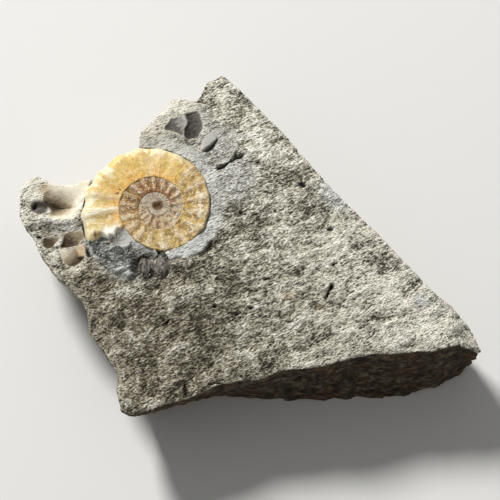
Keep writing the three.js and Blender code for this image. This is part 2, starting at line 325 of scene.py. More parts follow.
class Value:
    """A number in a node tree. Python's operators on it add the Math nodes that reckon with it."""

    def __init__(self, tree: "FinishTree", socket: bpy.types.NodeSocket) -> None:
        """Wraps an output socket of a tree."""
        self.tree = tree
        self.socket = socket

    def _reckon(self, operation: str, first: Number, second: Number) -> "Value":
        """Adds a Math node on two numbers and gives its result."""
        settings = {"operation": operation}
        return self.tree.value("Math", settings, {0: first, 1: second})

    def __add__(self, other: Number) -> "Value":
        """Adds."""
        return self._reckon("ADD", self, other)

    def __sub__(self, other: Number) -> "Value":
        """Subtracts."""
        return self._reckon("SUBTRACT", self, other)

    def __rsub__(self, other: Number) -> "Value":
        """Subtracts from a plain number."""
        return self._reckon("SUBTRACT", other, self)

    def __mul__(self, other: Number) -> "Value":
        """Multiplies."""
        return self._reckon("MULTIPLY", self, other)

    def rise(self, start: float, end: float) -> "Value":
        """Goes smoothly from 0 where the number is start to 1 where it is end."""
        settings = {"interpolation_type": "SMOOTHSTEP", "clamp": True}
        return self.tree.value("MapRange", settings, {0: self, 1: start, 2: end, 3: 0.0, 4: 1.0})

    def within(self, start: float, full: float, fading: float, end: float) -> "Value":
        """Goes up from 0 to 1 between start and full, and down again between fading and end."""
        return self.rise(start, full) * (1 - self.rise(fading, end))


Link = Union[Value, bpy.types.NodeSocket]
Colour = Union[bpy.types.NodeSocket, tuple[float, float, float, float]]
Tones = tuple[Colour, ...]


class FinishTree:
    """The node tree of one finish. Every node comes from its node method."""

    def __init__(self, name: str) -> None:
        """Starts a material of this name with nothing but the shader."""
        self.material = bpy.data.materials.new(name)
        self.material.use_nodes = True
        self.nodes = self.material.node_tree.nodes
        self.links = self.material.node_tree.links
        self.nodes.clear()
        self.shader = self.node("BsdfPrincipled")
        output = self.node("OutputMaterial")
        self.links.new(self.shader.outputs[0], output.inputs[0])
        self.millimetres = self._millimetres()

    def node(self, kind: str, settings: dict | None = None, inputs: dict | None = None) -> bpy.types.Node:
        """Adds a node.

        Args:
            kind: The node's type, without the ShaderNode that all types start with.
            settings: Its properties, and a ramp's stops under "stops" as (place, colour).
            inputs: Its sockets by name or number, each given a number, a vector, a colour or a link.

        Returns:
            The new node.
        """
        node = self.nodes.new("ShaderNode" + kind)
        for name, setting in (settings or {}).items():
            if name == "stops":
                self._set_stops(node.color_ramp.elements, setting)
            else:
                setattr(node, name, setting)
        for key, given in (inputs or {}).items():
            self.feed(node.inputs[key], given)
        return node

    def _set_stops(self, elements: bpy.types.ColorRampElements, stops: tuple) -> None:
        """Gives a ramp its stops, of which there are at least two."""
        while len(elements) < len(stops):
            elements.new(1.0)
        for element, (place, colour) in zip(elements, stops):
            element.position = place
            element.color = colour

    def feed(self, socket: bpy.types.NodeSocket, given: object) -> None:
        """Links a socket to what is given, or sets it where that is plain numbers."""
        if isinstance(given, Value):
            given = given.socket
        if isinstance(given, bpy.types.NodeSocket):
            self.links.new(given, socket)
        else:
            socket.default_value = given

    def value(self, kind: str, settings: dict | None, inputs: dict | None, output: int = 0) -> Value:
        """Adds a node and gives one of its outputs as a number."""
        return Value(self, self.node(kind, settings, inputs).outputs[output])

    def _millimetres(self) -> bpy.types.NodeSocket:
        """Gives the place on the object in millimetres."""
        place = self.node("TexCoord").outputs["Object"]
        return self.node("Mapping", None, {"Vector": place, "Scale": (1 / MM,) * 3}).outputs[0]

    def stretched(self, turn: float, stretch: tuple[float, float, float]) -> bpy.types.NodeSocket:
        """Gives the millimetre place for a pattern that runs along a bearing in degrees.

        Args:
            turn: The bearing.
            stretch: How far one unit of the pattern reaches along, across and up.

        Returns:
            The place as a vector.
        """
        inputs = {"Vector": self.millimetres, "Angle": math.radians(-turn)}
        turned = self.node("VectorRotate", {"rotation_type": "Z_AXIS"}, inputs)
        scale = tuple(1 / part for part in stretch)
        return self.node("Mapping", None, {"Vector": turned.outputs[0], "Scale": scale}).outputs[0]

    def attribute(self, name: str) -> Value:
        """Gives a point attribute of the mesh."""
        return self.value("Attribute", {"attribute_name": name}, None, 2)

    def speckle(self, place: Link, scale: float, detail: float = 3.0, roughness: float = 0.6) -> Value:
        """Gives cloudy noise, 0 to 1, with the given number of lumps to a unit of the place."""
        inputs = {"Vector": place, "Scale": scale, "Detail": detail, "Roughness": roughness}
        return self.value("TexNoise", {"normalize": True}, inputs)

    def strip(self, *parts: Number) -> bpy.types.NodeSocket:
        """Joins two or three numbers into a place for a pattern."""
        return self.node("CombineXYZ", None, dict(enumerate(parts))).outputs[0]

    def ramp(self, share: Value, places: tuple[float, ...], tones: Tones) -> bpy.types.NodeSocket:
        """Gives the colour at a share of a ramp's length, with the tones at the places on it."""
        return self.node("ValToRGB", {"stops": tuple(zip(places, tones))}, {"Fac": share}).outputs[0]

    def blend(self, share: Number, first: Colour, second: Colour, how: str = "MIX") -> bpy.types.NodeSocket:
        """Blends from the first colour, where the share is 0, to the second, in a way of the Mix node's."""
        settings = {"data_type": "RGBA", "blend_type": how, "clamp_result": False}
        return self.node("Mix", settings, {0: share, 6: first, 7: second}).outputs[2]

    def lay(self, colour: Colour, *layers: tuple[Number, Colour]) -> Colour:
        """Lays colours over a colour one after another, each with its share."""
        for share, tone in layers:
            colour = self.blend(share, colour, tone)
        return colour

    def bumps(self, *heights: tuple[Value, float]) -> bpy.types.NodeSocket:
        """Gives a normal bent by heights from 0 to 1.

        Args:
            heights: Each height, with what its 1 stands for in millimetres.

        Returns:
            The bent normal.
        """
        inputs = {}
        for height, depth in heights:
            inputs.update({"Height": height, "Distance": depth * MM, "Strength": 1.0})
            inputs["Normal"] = self.node("Bump", None, inputs).outputs[0]
        return inputs["Normal"]

    def dress(self, **sockets: object) -> None:
        """Feeds the shader's sockets; a name's underscores stand for spaces."""
        for name, given in sockets.items():
            self.feed(self.shader.inputs[name.replace("_", " ")], given)


@dataclass(frozen=True)
class LimestoneFinish:
    """Dry grey-beige limestone, with smooth moulds, the prepared channel and brown sides, rusty in patches
    and darkened with painted shade.
    """

    # From the darkest tone, partly painted shade in the hollows, up to the pale crests
    face: Tones = (srgb(70, 63, 51), srgb(150, 144, 126), srgb(211, 207, 188), srgb(252, 249, 236))
    # Multiplied in where the stone is darker towards the lower left and where shade is painted
    dusk: Colour = srgb(188, 182, 173)
    # Painted shade in the hollows of the grain, where the stone is darker
    depths: Colour = srgb(52, 46, 37)
    # Painted highlight on lit rims and crests, and the colour of paler rock
    bright: Colour = srgb(246, 241, 224)
    prepared: Tones = (srgb(112, 110, 102), srgb(212, 210, 200), srgb(246, 246, 240))
    channel: Tones = (srgb(158, 158, 151), srgb(217, 218, 212))
    # The mould skins, each from its lit colour into painted shade
    cream: Tones = (srgb(238, 230, 208), srgb(160, 146, 120), srgb(74, 61, 46))
    grey: Tones = (srgb(184, 183, 176), srgb(102, 97, 90), srgb(54, 49, 44))
    filling: Tones = (srgb(46, 44, 41), srgb(108, 107, 102), srgb(206, 209, 204))
    # The sides' browns, dark partly as painted shade on the sides turned from the key light
    side: Tones = (srgb(42, 34, 28), srgb(82, 70, 56), srgb(132, 120, 98))
    rust: Colour = srgb(112, 74, 46)
    warm: Colour = srgb(205, 165, 110)
    # Painted shade in the slits and holes
    pit: Colour = srgb(30, 27, 24)
    roughness: float = 0.92

    def make(self) -> bpy.types.Material:
        """Builds the material, which reads the stone's point attributes."""
        tree = FinishTree("limestone")
        masks = {mask: tree.attribute(mask.value) for mask in Mask}
        fine = tree.speckle(tree.stretched(24, (0.72, 0.33, 0.4)), 1.0, 2.0, 0.65)
        medium = tree.speckle(tree.stretched(18, (1.7, 1.0, 1.0)), 1.0, 3.0, 0.65)
        grit = tree.speckle(tree.stretched(30, (0.44, 0.2, 0.25)), 1.0, 1.0, 0.5)
        # Crumb follows the relief, the carved grain and the bumps, so the dark tones read from it are partly
        # the stone's own grain and partly painted shade in its hollows
        crumb = masks[Mask.GRAIN] * 0.25 + fine * 0.32 + medium * 0.13 + grit * 0.3
        calm = masks[Mask.CALM]
        crumb = (crumb - 0.53) * (1 - calm * 0.5) + 0.53
        mould = masks[Mask.MOULD]
        channel = masks[Mask.CHANNEL]

        colour = tree.ramp(crumb, (0.41, 0.475, 0.525, 0.59), self.face)
        # Painted highlights on lit rims and crests, and paler rock
        colour = tree.blend(masks[Mask.HIGHLIGHT_AND_PALE] * crumb.rise(0.38, 0.52), colour, self.bright)
        colour = tree.blend(masks[Mask.PREPARED], colour, tree.ramp(crumb, (0.38, 0.5, 0.64), self.prepared))
        # The stone darker towards the lower left, with painted shade in some patches and painted shadow in
        # the groove beside the coil
        dusk = masks[Mask.DARK_TONE_AND_SHADE]
        colour = tree.blend(dusk * (1 - crumb.rise(0.52, 0.6) * 0.5), colour, self.dusk, "MULTIPLY")
        # Painted shade in the hollows of the grain
        colour = tree.blend(dusk * crumb.rise(0.48, 0.4) * 0.6, colour, self.depths)
        colour = tree.blend(masks[Mask.FILLING], colour, tree.ramp(crumb, (0.4, 0.5, 0.62), self.filling))
        frosted = tree.blend(crumb.rise(0.42, 0.54), *self.channel)
        colour = tree.lay(colour, (masks[Mask.PALE], frosted), (channel, frosted))
        grey = masks[Mask.GREY]
        mottle = (fine - 0.5) * 0.35 + (grit - 0.5) * 0.3
        # Painted shade of the moulds, with a mottle
        shade = masks[Mask.SHADE] + mottle * (grey + 1)
        skins = [tree.ramp(shade, (0.05, 0.5, 0.95), tones) for tones in (self.cream, self.grey)]
        colour = tree.blend(mould, colour, tree.blend(grey, *skins))
        colour = tree.blend(masks[Mask.TINT], colour, self.warm, "MULTIPLY")

        # The sides: browns, rusty in patches, darkened partly with painted shade
        rough_side = tree.speckle(tree.stretched(0, (1.0, 1.0, 0.6)), 0.7, 5.0, 0.7)
        rust = tree.speckle(tree.millimetres, 0.3, 4.0, 0.7).rise(0.52, 0.68) * 0.5
        broken = tree.blend(rust, tree.ramp(rough_side, (0.38, 0.52, 0.66), self.side), self.rust)
        # Painted shade in the slits and holes laid over everything
        colour = tree.lay(colour, (masks[Mask.SIDE], broken), (masks[Mask.SHADED_PIT], self.pit))

        coarse = (1 - mould * 0.9) * (1 - channel * 0.5) * (1 - calm * 0.4)
        depths = ((fine, 0.46), (medium, 0.5), (grit, 0.38))
        normal = tree.bumps(*(((clouds - 0.5) * coarse, depth) for clouds, depth in depths))
        tree.dress(Base_Color=colour, Roughness=self.roughness, Normal=normal, Specular_IOR_Level=0.25)
        return tree.material


@dataclass(frozen=True)
class CalciteFinish:
    """Translucent calcite: amber and cream on the outer whorl, brown to mauve on the whorls inside it."""

    nucleus: Colour = srgb(112, 72, 24)
    mauve: Colour = srgb(198, 184, 163)
    tan: Colour = srgb(204, 176, 138)
    golden: Colour = srgb(156, 108, 42)
    brown: Colour = srgb(168, 122, 54)
    bronze: Colour = srgb(210, 170, 100)
    citrine: Colour = srgb(222, 188, 110)
    olive: Colour = srgb(204, 168, 88)
    amber: Colour = srgb(226, 190, 98)
    honey: Colour = srgb(224, 190, 108)
    straw: Colour = srgb(214, 190, 122)
    deep: Colour = srgb(236, 174, 66)
    ochre: Colour = srgb(160, 98, 26)
    rim: Colour = srgb(204, 186, 160)
    cream: Colour = srgb(250, 238, 200)
    furrow: Colour = srgb(112, 76, 38)
    pale_rib: Colour = srgb(238, 218, 180)
    dull_rib: Colour = srgb(214, 180, 128)
    white: Colour = srgb(255, 250, 232)
    speck: Colour = srgb(112, 66, 34)
    # Painted shadow along the top of the seam under the outer whorl
    seam: Colour = srgb(60, 38, 22)
    roughness: float = 0.36
    glow: float = 0.22
    first_turn: float = -1150.0
    last_turn: float = 400.0

    def _tones(self) -> tuple:
        """Lists the ramp's stops: the shell's main colour at each turn."""
        tones = (
            (-860, self.nucleus), (-780, self.mauve), (-400, self.mauve), (-270, self.tan),
            (-190, self.mauve), (-130, self.golden), (-60, self.golden), (0, self.brown), (45, self.bronze),
            (85, self.citrine), (215, self.olive), (250, self.amber), (335, self.amber), (355, self.honey),
            (378, self.straw),
        )
        length = self.last_turn - self.first_turn
        return tuple(((turn - self.first_turn) / length, tone) for turn, tone in tones)

    def make(self) -> bpy.types.Material:
        """Builds the material, which reads the shell's point attributes."""
        tree = FinishTree("calcite")
        turn = tree.attribute("whorl") * 360
        across = tree.attribute("across")
        rib = tree.attribute("rib")
        along = tree.attribute("along")
        clouds = tree.speckle(tree.millimetres, 0.45, 3.0, 0.6)
        grains = tree.speckle(tree.millimetres, 1.5, 4.0, 0.7)
        glints = tree.speckle(tree.millimetres, 3.6, 2.0, 0.6)
        fibres = tree.speckle(tree.strip(along * 3.4, across * 2.0, turn * 0.003), 1.0, 3.0, 0.65)
        inputs = {"Vector": tree.strip(along, across * 2.6), "Scale": 0.55}
        crystals = tree.node("TexVoronoi", None, inputs)
        tone = tree.value("SeparateColor", None, {0: crystals.outputs["Color"]})

        late = turn.rise(215, 260)
        rough = turn.rise(-25, 20) * (1 - late)
        inner = turn.within(-380, -330, -15, 25)
        centre = turn.within(-820, -760, -380, -330)
        brown_top = turn.within(-190, -150, -50, -10)
        dull = turn.within(-215, -150, 5, 30)
        arc = turn.within(-725, -690, -580, -545)
        near_seam = 1 - (across + (clouds - 0.5) * 0.5).rise(0.02, 0.5)
        outside = (across + (clouds - 0.5) * 0.9 + (tone - 0.5) * 0.4).rise(0.62, 0.95)
        veins = grains.rise(0.53, 0.43) * (rough * 0.62 + late * 0.22 + inner * 0.8 + centre * 0.35)
        crest = rib.rise(0.35, 0.95) * fibres.rise(0.36, 0.52)
        band = turn.within(362, 367, 371, 375) * fibres.rise(0.4, 0.54)
        streaks = fibres.rise(0.54, 0.62) * grains.rise(0.44, 0.54)
        # Painted glints, partly white crystal specks
        glitter = glints.rise(0.57, 0.64) * (rib * 0.7 + 0.3)
        # A painted highlight along the seam on the lower and right sides, and a pale lip on the outer edge
        # near the mouth
        pale_lip_and_seam_highlight = (1 - across.rise(0.025, 0.06)) * turn.within(10, 40, 225, 245)
        pale_lip_and_seam_highlight = pale_lip_and_seam_highlight + across.rise(0.95, 0.98) * turn.within(5, 15, 60, 75)
        margin = across.rise(0.91, 0.96) * turn.within(130, 150, 225, 240)
        top_shadow = across.rise(0.93, 0.99) * turn.within(-150, -120, -30, 0)
        inner_shadow = across.rise(0.88, 0.95) * turn.within(-345, -320, -160, -130)

        length = self.last_turn - self.first_turn
        drifting = turn + (clouds - 0.5) * 60
        colour = tree.lay(
            tree.ramp((drifting - self.first_turn) * (1 / length), *zip(*self._tones())),
            (near_seam * late * 0.75, self.deep),
            (near_seam * brown_top, self.ochre),
            (outside * brown_top * 0.4, self.mauve),
            (outside * (late * 0.7 + 0.1), self.cream),
            (tone.rise(0.5, 0.9) * late * 0.3, self.cream),
            (veins, self.furrow),
            (crest * (rough * 0.62 + late * 0.12), self.pale_rib),
            (crest * (inner * 0.85 + centre * 0.5), self.dull_rib),
            (band * 0.65, self.white),
            (streaks * (rough * 0.6 + late * 0.5 + inner * 0.3), self.white),
            (glitter * (dull + rough * 0.6 + late * 0.15), self.white),
            (pale_lip_and_seam_highlight * 0.8, self.pale_rib),
            (margin * 0.7, self.rim),
            (top_shadow * 0.8, self.seam),
            (inner_shadow * 0.55, self.furrow),
            (across.within(0.3, 0.45, 0.58, 0.7) * arc * 0.45, self.pale_rib),
            (across.rise(0.66, 0.8) * arc * 0.65, self.furrow),
            (tree.attribute("teeth"), self.white),
            (tree.attribute("speck"), self.speck),
        )

        relief = 1.4 - late * 0.8
        distance = Value(tree, crystals.outputs["Distance"])
        normal = tree.bumps((distance, 0.035), (fibres * relief, 0.17), (grains * relief, 0.3))
        roughness = glints * 0.25 + self.roughness
        tree.dress(Base_Color=colour, Roughness=roughness, Normal=normal)
        tree.dress(IOR=1.55, Subsurface_Weight=self.glow, Subsurface_Radius=(1.0, 0.7, 0.35))
        tree.dress(Subsurface_Scale=0.9 * MM, Coat_Weight=0.1, Coat_Roughness=0.25)
        return tree.material


@dataclass(frozen=True)
class DarkShellFinish:
    """Dark brown-grey fossil shell with a faint sheen and a pale worn rim."""

    dark: Colour = srgb(48, 42, 39)
    mid: Colour = srgb(138, 130, 119)
    pale: Colour = srgb(196, 190, 176)
    roughness: float = 0.5

    def make(self) -> bpy.types.Material:
        """Builds the material, which reads the bit's worn attribute."""
        tree = FinishTree("dark_shell")
        mottle = tree.speckle(tree.stretched(70, (0.8, 0.4, 0.4)), 1.0, 4.0, 0.65)
        colour = tree.ramp(mottle, (0.4, 0.62), (self.dark, self.mid))
        worn = tree.attribute("worn") * mottle.rise(0.3, 0.55)
        colour = tree.blend(worn, colour, self.pale)
        tree.dress(Base_Color=colour, Roughness=self.roughness, Normal=tree.bumps((mottle, 0.3)))
        return tree.material


def put_in_scene(name: str, data: bpy.types.ID) -> bpy.types.Object:
    """Puts data in the scene as an object of this name."""
    placed = bpy.data.objects.new(name, data)
    bpy.context.scene.collection.objects.link(placed)
    return placed


def opened(mesh: bpy.types.Mesh) -> bmesh.types.BMesh:
    """Opens a mesh for editing."""
    bm = bmesh.new()
    bm.from_mesh(mesh)
    return bm


def write_back(bm: bmesh.types.BMesh, mesh: bpy.types.Mesh) -> None:
    """Writes an edited mesh into a mesh and frees it."""
    bm.to_mesh(mesh)
    bm.free()


def new_mesh(name: str, bm: bmesh.types.BMesh) -> bpy.types.Mesh:
    """Turns an edited mesh into a new mesh of this name."""
    mesh = bpy.data.meshes.new(name)
    write_back(bm, mesh)
    return mesh


def finish_piece(name: str, mesh: bpy.types.Mesh, material: bpy.types.Material, node: str) -> None:
    """Puts a dressed mesh in the scene, where it stands for a CAD node.

    Args:
        name: The piece's name.
        mesh: Its mesh, in metres.
        material: Its finish.
        node: The CAD node that it replaces.
    """
    piece = put_in_scene(name, mesh)
    mesh.materials.clear()
    mesh.materials.append(material)
    mesh.shade_smooth()
    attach(piece, "root")
    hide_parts(node)
    log.info("%s: %d vertices, %d faces", name, len(mesh.vertices), len(mesh.polygons))


def write_attributes(mesh: bpy.types.Mesh, columns: dict[str, list[float]]) -> None:
    """Stores on a mesh, for each attribute's name, one number for each point."""
    for name, numbers in columns.items():
        mesh.attributes.new(name, "FLOAT", "POINT").data.foreach_set("value", numbers)


SPUR_MOULDS = (
    Mould(
        Patch(
            (-31.4, 9.6), (-30.2, 10.2), (-28.2, 10.4), (-26.3, 10.7), (-25.3, 10.4), (-26.2, 7.6),
            (-26.9, 5.5), (-27.4, 4.0), (-29.4, 3.8), (-31.2, 4.2), (-30.9, 5.2), (-31.3, 5.9),
            (-32.1, 6.8), (-32.2, 7.8),
        ),
        top=(-29.2, 9.8), crease=(-29.0, 6.15), depth=1.4, wall=2.1, steepening=1.5, shades=(0.05, 1.45),
        paling=0.95, softness=0.35, flush=1.0,
    ),
    Mould(
        Patch(
            (-26.9, -0.1), (-25.9, 0.0), (-25.4, -0.8), (-25.4, -1.8), (-26.0, -2.0), (-26.6, -1.8),
            (-27.0, -0.8),
        ),
        top=(-26.3, 0.2), crease=(-26.2, -2.0), depth=0.05, wall=0.3, steepening=1.0, shades=(0.2, 0.3),
    ),
    Mould(
        Patch(
            (-29.5, -0.9), (-28.2, -0.6), (-26.9, -0.6), (-26.5, -1.7), (-25.5, -1.9), (-25.5, -2.4),
            (-26.2, -3.0), (-27.1, -3.5), (-28.2, -3.4), (-28.9, -2.7),
        ),
        top=(-28.9, -0.9), crease=(-26.9, -3.3), depth=0.55, wall=0.25, steepening=1.2, shades=(0.15, 1.25),
    ),
    Mould(
        Patch(
            (-31.9, 1.3), (-29.4, 1.4), (-30.0, 0.5), (-30.8, -0.4), (-31.6, -0.5), (-32.1, -0.1),
            (-32.2, 0.7),
        ),
        top=(-29.9, 1.6), crease=(-31.7, -0.4), depth=0.3, wall=0.3, steepening=1.0, shades=(0.65, 1.2),
    ),
    Mould(
        Patch(
            (-29.5, -0.6), (-29.1, 1.1), (-28.8, 1.9), (-27.5, 2.2), (-26.3, 2.1), (-26.0, 1.3),
            (-26.2, 0.2), (-26.8, -0.2), (-28.2, -0.5),
        ),
        top=(-27.4, 2.2), crease=(-27.6, -0.35), depth=0.6, wall=0.2, steepening=1.2, shades=(0.72, 1.35),
        paling=0.3,
    ),
)
TOP_MOULDS = (
    Mould(
        Patch(
            (-12.4, 20.2), (-11.2, 20.5), (-10.2, 20.8), (-9.8, 19.8), (-10.3, 18.2), (-10.7, 17.2),
            (-11.5, 17.8), (-12.4, 18.2), (-13.7, 18.0), (-13.2, 19.1),
        ),
        top=(-10.2, 20.2), crease=(-13.2, 18.5), depth=0.2, wall=0.2, steepening=1.0, shades=(0.1, 0.9),
        skin=Skin.GREY, softness=0.22,
    ),
    Mould(
        Patch(
            (-10.2, 21.0), (-8.4, 21.5), (-7.8, 21.0), (-7.4, 19.7), (-7.2, 18.4), (-8.0, 16.9),
            (-9.3, 16.6), (-10.9, 16.8), (-10.4, 18.3), (-9.8, 19.7),
        ),
        top=(-7.2, 19.4), crease=(-10.4, 18.6), depth=0.35, wall=0.2, steepening=0.45, shades=(0.25, 1.0),
        skin=Skin.GREY, softness=0.16,
    ),
    Mould(
        Patch(
            (-7.6, 15.4), (-7.2, 15.0), (-5.9, 16.2), (-4.9, 18.0), (-4.2, 18.3), (-5.3, 18.4),
            (-6.4, 17.7), (-7.3, 16.6),
        ),
        top=(-7.4, 17.4), crease=(-5.0, 15.8), depth=0.05, wall=0.5, steepening=1.0, shades=(-0.1, 0.2),
        skin=Skin.GREY, softness=0.3,
    ),
)
SLITS = (
    Patch((-7.4, 14.8), (-6.4, 15.8), (-5.5, 16.7), (-5.0, 16.8), (-5.2, 16.1), (-5.7, 15.2), (-6.6, 14.7)),
    Patch(
        (-5.4, 12.0), (-4.7, 12.6), (-3.8, 12.95), (-3.0, 13.6), (-2.5, 14.2), (-2.1, 14.8), (-2.1, 14.1),
        (-1.0, 14.35), (-1.15, 13.8), (-2.1, 13.3), (-3.2, 12.7), (-4.0, 12.0), (-4.9, 11.8),
    ),
)
BOULDER = Patch(
    (-25.4, 0.4), (-24.9, -1.5), (-24.2, -2.6), (-22.9, -3.9), (-21.5, -4.9), (-20.4, -5.5), (-19.1, -6.1),
    (-18.0, -6.0), (-17.4, -5.2), (-17.5, -3.9), (-16.9, -2.5), (-17.2, -1.7), (-18.2, -1.1), (-18.3, 1.2),
    (-19.6, 4.6), (-23.4, 4.2), (-25.2, 2.4),
)
FACET = Mould(
    Patch(
        (-22.1, 0.2), (-21.4, -0.3), (-19.8, -0.9), (-18.9, -0.6), (-18.4, 0.0), (-19.1, 0.8), (-19.7, 1.6),
        (-20.4, 1.8), (-21.4, 1.0),
    ),
    top=(-18.8, -0.2), crease=(-21.8, 0.9), depth=0.2, wall=0.5, steepening=0.8, shades=(-0.25, 0.7),
    skin=Skin.GREY, softness=0.12, lift=0.45,
)


@dataclass
class Stone:
    """The loose limestone: a fine copy of the CAD solid, with the relief of its face and its sides."""

    spiral: Spiral
    bits: Ovals
    grid: float = 0.41
    join_distance: float = 0.001
    side_height: float = 8.0
    face_slope: float = 0.35
    spur_slope: float = 0.12
    overhang_slope: float = -0.3
    face_height: float = 14.4
    grain_height: float = 0.2
    streak_bearing: float = 20.0
    corner_bearing: float = 52.0
    rim_reach: float = 0.25
    channel_floor: float = 14.3
    channel_start: float = 14.95
    channel_width: float = 0.95
    channel_widening: float = 1.1
    groove_depth: float = 0.35
    slit_depth: float = 0.9
    hole_depth: float = 0.45
    mouth_level: float = 14.75
    side_roughness: float = 0.35
    boulder_height: float = 0.75
    venter_inset: float = 0.55
    flank_inset: float = 0.2
    inset_height: float = 2.5
    seat_inner: float = -0.3
    seat_outer: float = 0.3
    seat_depth: float = 2.0
    seat_gap: float = 0.45
    open_gap: float = 0.68
    contact_gap: float = 0.02
    seat_reach: float = 1.4
    bit_reach: tuple[float, float] = (1.2, 1.7)
    moulds: tuple[Mould, ...] = (*SPUR_MOULDS, *TOP_MOULDS, FACET)
    slits: tuple[Patch, ...] = SLITS
    boulder: Patch = BOULDER
    pit_floor: Oval = Oval(-32.65, 5.95, 1.55, 1.3, -6)
    pit_depth: float = 0.25
    bit_hollow: Oval = Oval(-16.3, -3.9, 2.0, 2.4, 14)
    bit_hollow_depth: float = 0.55
    levelled: Ovals = (
        Oval(-10.2, 17.2, 7.2, 5.2, 30), Oval(-3.6, 11.0, 4.4, 6.4, -20), Oval(-18.5, -1.8, 6.5, 4.6, -20),
        Oval(-25.5, 4.0, 1.6, 7.0, 0), Oval(-31.0, 3.0, 4.5, 1.3, 0), Oval(-29.0, 0.5, 4.2, 5.0, 0),
        Oval(-31.6, 8.0, 3.4, 3.6, 0), Oval(-10.6, 21.4, 3.4, 2.4, 0),
    )
    greyed: Ovals = (
        Oval(-5.2, 15.6, 3.4, 2.6, 30), Oval(-2.2, 10.4, 2.6, 4.2, -10), Oval(-7.6, 19.4, 1.8, 2.4, 0),
        Oval(-18.5, -1.8, 5.5, 4.2, -20), Oval(-25.3, 5.0, 0.9, 6.0, -4), Oval(-29.5, 3.0, 3.6, 1.0, 0),
    )
    pits: Ovals = (
        Oval(8.07, 9.36, 0.6, 0.45, -30), Oval(9.88, 5.93, 0.3, 0.18, 30), Oval(12.3, 2.18, 0.5, 0.3, -5),
        Oval(12.8, -3.53, 0.35, 0.22, 35), Oval(12.05, -7.9, 1.4, 0.16, 67),
        Oval(12.5, -7.1, 0.6, 0.35, 67), Oval(3.8, 5.2, 0.22, 0.16), Oval(2.1, 1.3, 0.2, 0.15),
        Oval(-1.5, 4.9, 0.25, 0.22), Oval(1.2, 13.0, 0.25, 0.2), Oval(18.7, -1.9, 0.2, 0.16),
        Oval(0.0, -10.4, 0.4, 0.26), Oval(2.5, -5.8, 0.5, 0.14, 10), Oval(-5.5, -10.1, 0.36, 0.28, -40),
        Oval(-12.9, -12.7, 0.5, 0.18, 50), Oval(-2.2, -11.4, 0.22, 0.14), Oval(-10.0, -23.4, 1.1, 0.3, 94),
        Oval(-5.5, -22.2, 1.1, 0.12, 8), Oval(-25.0, -1.5, 0.8, 0.28, -72),
        Oval(-14.0, -1.75, 0.75, 0.14, 0), Oval(-32.6, 1.3, 0.42, 0.2, -20),
    )
    pale_patches: Ovals = (
        Oval(12.9, 7.4, 2.6, 1.6, -48), Oval(26.4, -9.4, 1.6, 1.1, -30), Oval(-24.3, -1.4, 1.5, 0.3, -62),
        Oval(-19.7, -4.8, 1.7, 1.0, -15), Oval(-16.7, -1.0, 2.3, 0.55, -22),
    )
    # Patches of painted highlight on lit rims and crests, and patches of paler rock
    highlight_and_pale_patches: Ovals = (
        Oval(-34.7, 5.6, 0.8, 4.2, -8), Oval(-32.4, 4.2, 1.7, 0.4, 4), Oval(-30.6, 1.6, 1.3, 0.18, 4),
        Oval(-9.3, 21.8, 1.3, 0.3, 5), Oval(-30.6, -1.8, 1.5, 1.1, -40), Oval(-15.4, 19.0, 4.2, 1.6, 42),
        Oval(-10.4, 22.1, 2.4, 1.0, -8), Oval(-3.2, 25.2, 3.0, 2.6, 0),
    )
    calm_patches: Ovals = (
        Oval(-32.8, 8.9, 2.5, 2.0, 0), Oval(-14.4, 18.6, 4.8, 2.0, 52), Oval(-10.2, 22.0, 2.6, 1.0, -8),
        Oval(-12.1, 15.9, 4.8, 0.9, -19),
    )
    # Patches of painted shade on the band below the trough and between the horn and the coil, and patches
    # only darker in tone
    dark_and_shaded_patches: Ovals = (
        Oval(-31.3, 2.6, 3.0, 1.1, -12), Oval(-26.0, 6.2, 0.45, 3.2, -13), Oval(-6.2, 20.0, 1.0, 1.0, 0),
        Oval(24.9, -16.2, 1.3, 0.6, 0),
    )
    tint_patches: Ovals = (
        Oval(5.9, -8.6, 0.8, 0.6), Oval(-26.1, -1.0, 0.9, 0.9), Oval(-31.9, 8.9, 1.0, 0.7),
        Oval(10.7, -10.2, 0.6, 0.5),
    )

    def build(self) -> None:
        """Makes the stone and puts it in the scene."""
        mesh = self._fine_copy()
        columns = self._carve(mesh)
        write_attributes(mesh, columns)
        finish_piece("stone", mesh, LimestoneFinish().make(), "matrix")

    def _fine_copy(self) -> bpy.types.Mesh:
        """Copies the CAD node's mesh, in metres, and gives it an even grid, which is finer on the face."""
        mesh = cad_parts["matrix"].data.copy()
        bm = opened(mesh)
        bmesh.ops.remove_doubles(bm, verts=bm.verts, dist=self.join_distance * MM)
        write_back(bm, mesh)
        rough = put_in_scene("rough stone", mesh)
        remesh = rough.modifiers.new("even grid", "REMESH")
        remesh.mode = "VOXEL"
        remesh.voxel_size = self.grid * MM
        fine = bpy.data.meshes.new_from_object(rough.evaluated_get(bpy.context.evaluated_depsgraph_get()))
        bpy.data.objects.remove(rough)
        fine.name = "stone"
        bm = opened(fine)
        upper = [quad for quad in bm.faces if quad.calc_center_median().z > self.side_height * MM]
        edges = list({edge for quad in upper if quad.normal.z > self.face_slope for edge in quad.edges})
        bmesh.ops.subdivide_edges(bm, edges=edges, cuts=1, use_grid_fill=True)
        write_back(bm, fine)
        return fine

